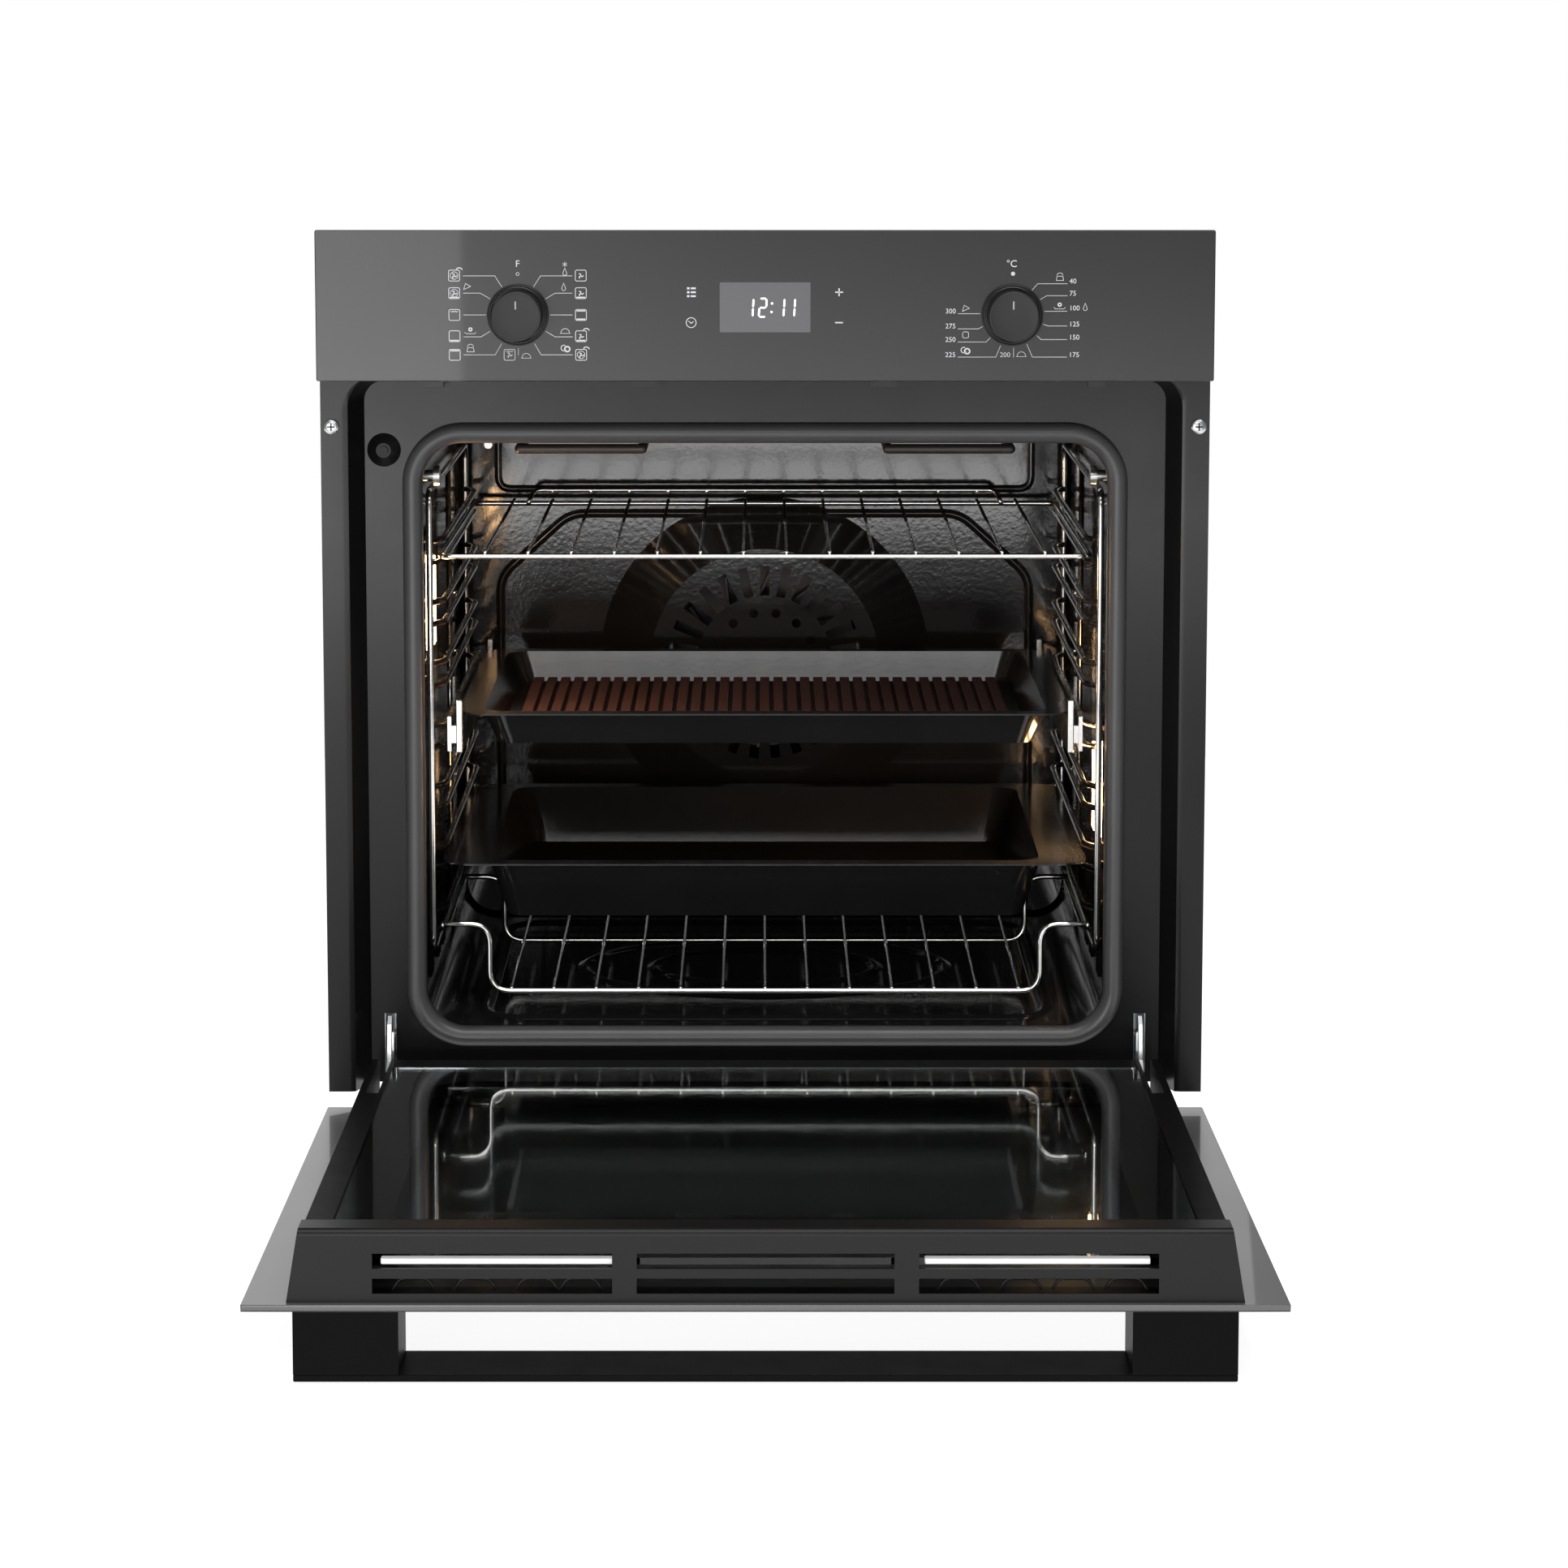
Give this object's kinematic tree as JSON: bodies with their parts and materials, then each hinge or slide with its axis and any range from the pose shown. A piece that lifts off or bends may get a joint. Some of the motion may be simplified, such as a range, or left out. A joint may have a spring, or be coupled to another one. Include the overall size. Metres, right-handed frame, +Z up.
{
  "type": "built-in wall oven",
  "caption": "Built-in electric oven with a drop-down glass door, turning controls, clock display and shelves that slide out of an enamelled cavity.",
  "frame": {"origin": "centre of the body's underside, where it stands on the niche shelf", "axes": "+X to the right of a person facing the oven, +Y into the cabinet, +Z up"},
  "size_m": [0.595, 1.063, 0.6327],
  "materials": {
    "casing_steel": "zinc-coated sheet, dull grey",
    "frame_enamel": "black enamel, glossy",
    "cavity_enamel": "black vitreous enamel, glossy",
    "tray_enamel": "black enamel, glossy",
    "panel_glass": "back-painted anthracite glass, glossy",
    "door_black_glass": "back-painted dark glass, glossy",
    "clear_glass": "clear glass, polished",
    "lamp_glass": "clear ribbed glass",
    "seal_rubber": "grey silicone, satin",
    "black_plastic": "black moulding, satin",
    "knob_plastic": "soft black lacquer",
    "handle_paint": "black powder coat, satin",
    "chrome_wire": "chromed wire, bright",
    "zinc_steel": "zinc plated, bright",
    "steel": "bare steel",
    "heater_steel": "oxidised heating tube",
    "mineral_wool": "pressed wool board",
    "insert_brown": "brown coated steel",
    "aluminium": "die cast, plain",
    "display_window": "smoked window",
    "board_green": "laminate"
  },
  "bodies": {
    "body": {"base_plate": "casing_steel", "side_casings": "casing_steel", "top_cover": "casing_steel", "rear_cover": "casing_steel", "front_frame": "frame_enamel", "cavity_front_plate": "frame_enamel", "door_gasket": "seal_rubber", "cavity_liner": "cavity_enamel", "insulation": "mineral_wool", "fan_panel": "cavity_enamel", "fan_motor": "zinc_steel", "ring_heater": "heater_steel", "grill_element": "heater_steel", "bottom_element": "heater_steel", "thermostat_bulb": "steel", "rack_nuts": "steel", "cabinet_screws": "zinc_steel", "air_duct": "casing_steel", "terminal_block": "black_plastic", "side_rack_left": "chrome_wire", "side_rack_right": "chrome_wire", "lamp_glasses": "lamp_glass", "lamp_holders": "zinc_steel", "lamp_bulbs": "lamp_glass", "runner_rails": "steel", "control_panel": "panel_glass", "panel_bracket": "casing_steel", "clock_display": "display_window", "control_board": "board_green", "knob_bezels": "black_plastic", "rotary_switches": "black_plastic", "door_switch_boot": "black_plastic", "blower_housing": "zinc_steel", "blower_motor": "zinc_steel", "hinge_receivers": "zinc_steel", "hinge_arms": "zinc_steel"},
    "door": {"door_side_profiles": "handle_paint", "door_bottom_profile": "handle_paint", "door_cap": "black_plastic", "door_outer_glass": "door_black_glass", "door_inner_glass": "clear_glass", "door_middle_glass": "clear_glass", "handle_plate": "handle_paint", "handle_posts": "handle_paint", "handle_screws": "zinc_steel", "hinge_pins": "steel"},
    "function_knob_body": {"function_knob": "knob_plastic"},
    "temperature_knob_body": {"temperature_knob": "knob_plastic"},
    "fan": {"convection_fan": "steel"},
    "blower": {"blower_wheel": "aluminium"},
    "switch_plunger": {"door_switch_plunger": "steel"},
    "grid_shelf": {"wire_shelf": "chrome_wire"},
    "runner_middle": {"runner_middles": "steel"},
    "runner_carriage": {"runner_sliders": "steel", "baking_tray": "tray_enamel", "tray_insert": "insert_brown"},
    "deep_tray_body": {"deep_tray": "tray_enamel"},
    "low_rack": {"dropped_rack": "chrome_wire"},
    "lock_left": {"hinge_lock_left": "zinc_steel"},
    "lock_right": {"hinge_lock_right": "zinc_steel"}
  },
  "joints": [
    {"name": "door_hinge", "type": "hinge", "parent": "body", "child": "door", "pos_m": [0, -0.2857, -0.0075], "axis": [-1, 0, 0], "range_deg": [0, 89]},
    {"name": "function_turn", "type": "hinge", "parent": "body", "child": "function_knob_body", "pos_m": [-0.1635, -0.2945, 0.527], "axis": [0, -1, 0], "continuous": true},
    {"name": "temperature_turn", "type": "hinge", "parent": "body", "child": "temperature_knob_body", "pos_m": [0.1635, -0.2945, 0.527], "axis": [0, -1, 0], "range_deg": [-320, 0]},
    {"name": "fan_spin", "type": "hinge", "parent": "body", "child": "fan", "pos_m": [0, 0.1505, 0.233], "axis": [0, 1, 0], "continuous": true},
    {"name": "blower_spin", "type": "hinge", "parent": "body", "child": "blower", "pos_m": [0, 0.15, 0.508], "axis": [1, 0, 0], "continuous": true},
    {"name": "switch_press", "type": "slide", "parent": "body", "child": "switch_plunger", "axis": [0, 1, 0], "range_m": [0, 0.004], "stiffness_N_per_m": 300, "springref_m": -0.004},
    {"name": "grid_shelf_slide", "type": "slide", "parent": "body", "child": "grid_shelf", "axis": [0, 1, 0], "range_m": [-0.3, 0]},
    {"name": "runner_slide", "type": "slide", "parent": "body", "child": "runner_carriage", "axis": [0, 1, 0], "range_m": [-0.3, 0]},
    {"name": "runner_middle_slide", "type": "slide", "parent": "body", "child": "runner_middle", "axis": [0, 1, 0], "range_m": [-0.15, 0]},
    {"name": "deep_tray_slide", "type": "slide", "parent": "body", "child": "deep_tray_body", "axis": [0, 1, 0], "range_m": [-0.3, 0]},
    {"name": "low_rack_slide", "type": "slide", "parent": "body", "child": "low_rack", "axis": [0, 1, 0], "range_m": [-0.3, 0]},
    {"name": "lock_left_flip", "type": "hinge", "parent": "body", "child": "lock_left", "pos_m": [-0.2575, -0.2515, 0.016], "axis": [-1, 0, 0], "range_deg": [-80, 0]},
    {"name": "lock_right_flip", "type": "hinge", "parent": "body", "child": "lock_right", "pos_m": [0.2575, -0.2515, 0.016], "axis": [-1, 0, 0], "range_deg": [-80, 0]}
  ],
  "couplings": [
    {"joint": "runner_middle_slide", "follows": "runner_slide", "ratio": 0.5}
  ]
}
